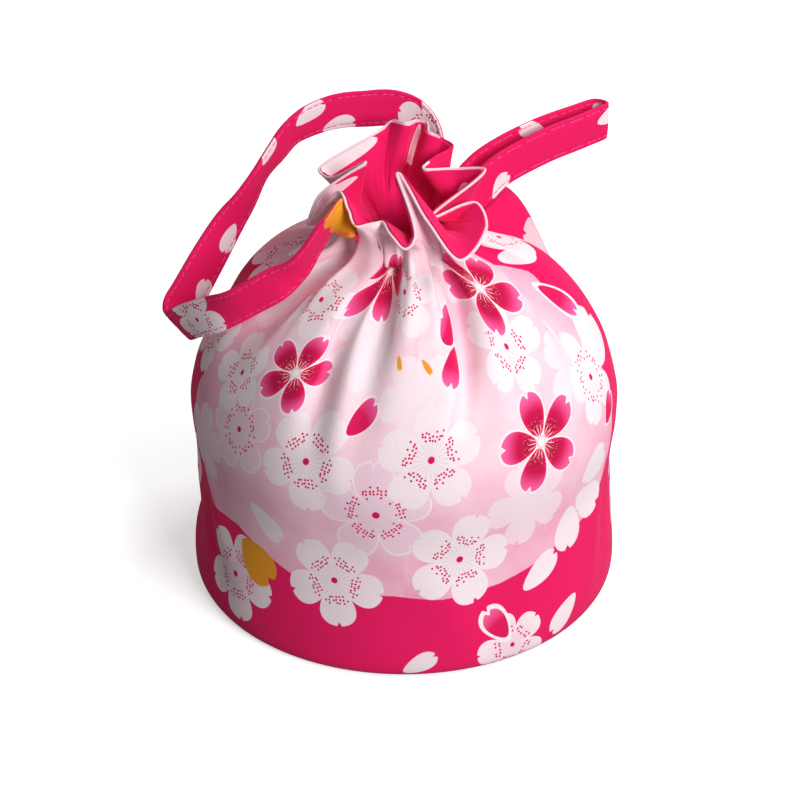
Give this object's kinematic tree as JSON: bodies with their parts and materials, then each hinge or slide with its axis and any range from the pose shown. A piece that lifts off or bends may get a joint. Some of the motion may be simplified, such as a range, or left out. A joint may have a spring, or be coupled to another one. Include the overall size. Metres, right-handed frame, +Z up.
{
  "type": "drawstring pouch handbag",
  "caption": "Round-based pouch handbag of printed cotton, its full wall gathered at the neck by flat drawstring bands under a ruffled frill, for carrying small things.",
  "frame": {"origin": "centre of the round base's underside, on the surface it stands on", "axes": "+Z up, -Y the front as pictured, +X to the right in the picture"},
  "size_m": [0.1892, 0.18, 0.1948],
  "materials": {
    "base_cotton": "matt printed cotton, hot pink",
    "wall_cotton": "matt printed cotton, pale pink with blossoms",
    "facing_cotton": "matt printed cotton, hot pink",
    "band_cotton": "matt printed cotton, hot pink, topstitched"
  },
  "bodies": {
    "root": {"outer_base": "base_cotton", "outer_wall": "wall_cotton", "mouth_facing": "facing_cotton", "drawstring_left": "band_cotton", "drawstring_right": "band_cotton"}
  },
  "joints": []
}
